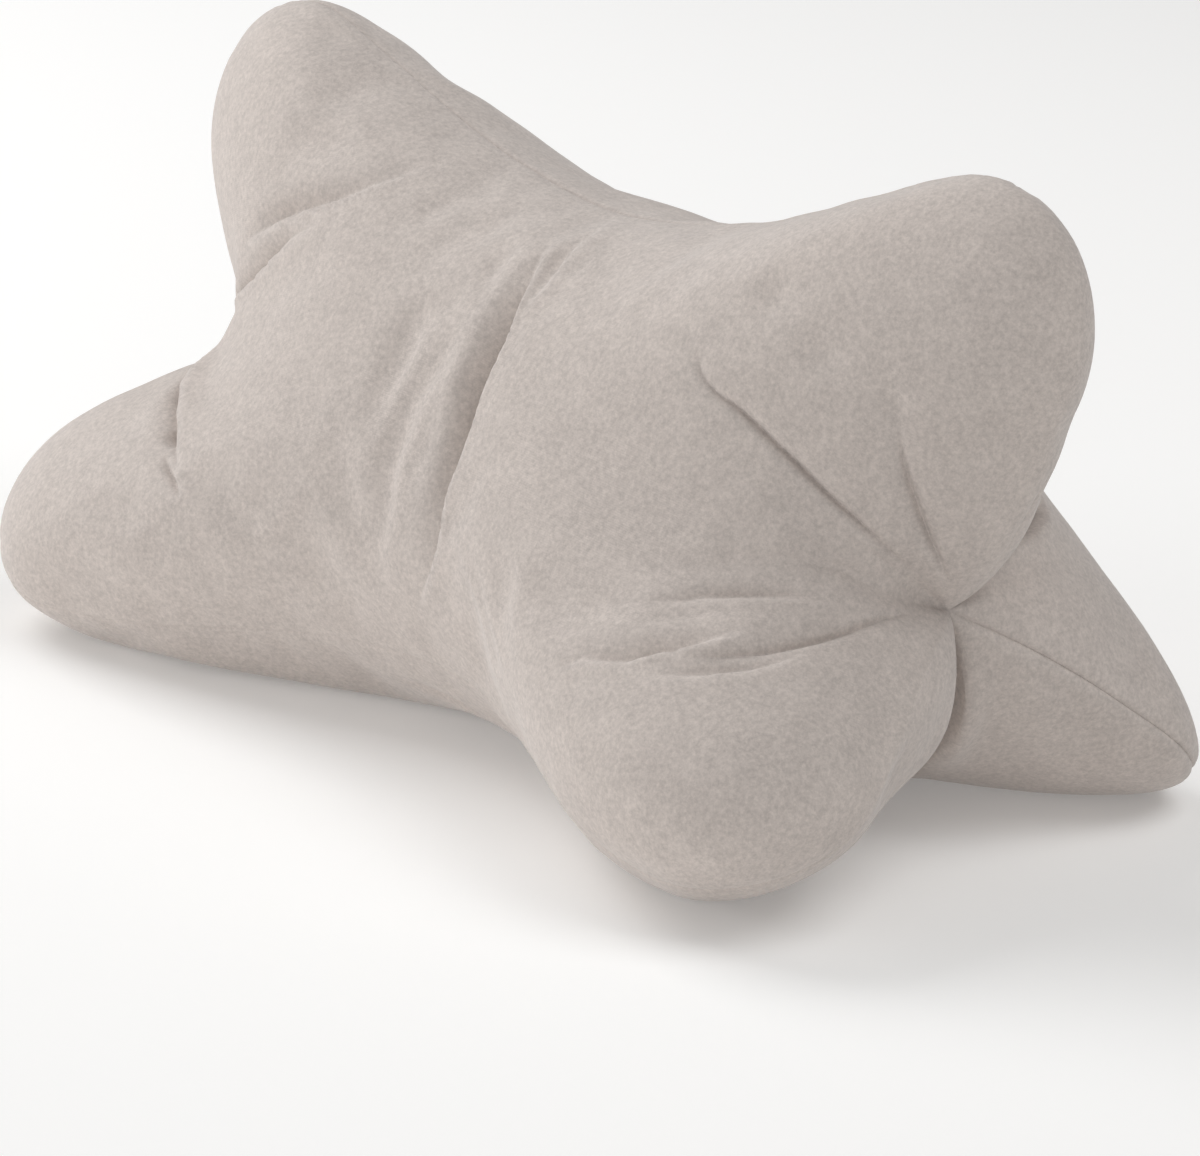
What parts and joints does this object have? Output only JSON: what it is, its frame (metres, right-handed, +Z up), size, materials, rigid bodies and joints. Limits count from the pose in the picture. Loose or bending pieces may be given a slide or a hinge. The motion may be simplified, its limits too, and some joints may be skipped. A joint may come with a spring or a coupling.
{
  "type": "reading neck pillow",
  "caption": "Bone-shaped reading neck pillow: a firm three-sided cushion with a narrow waist and rounded lobes at both ends, for a neck to rest between.",
  "frame": {"origin": "middle of the pillow's length and width, on the surface that it stands on", "axes": "+X along the pillow's length, towards the end that is nearer in the picture; -Y towards its front, where the seam of the front lobes is; +Z up"},
  "size_m": [0.6032, 0.334, 0.3071],
  "materials": {
    "cover": "soft warm grey jersey, very finely marled, matte"
  },
  "bodies": {
    "root": {"pillow": "cover"}
  },
  "joints": []
}
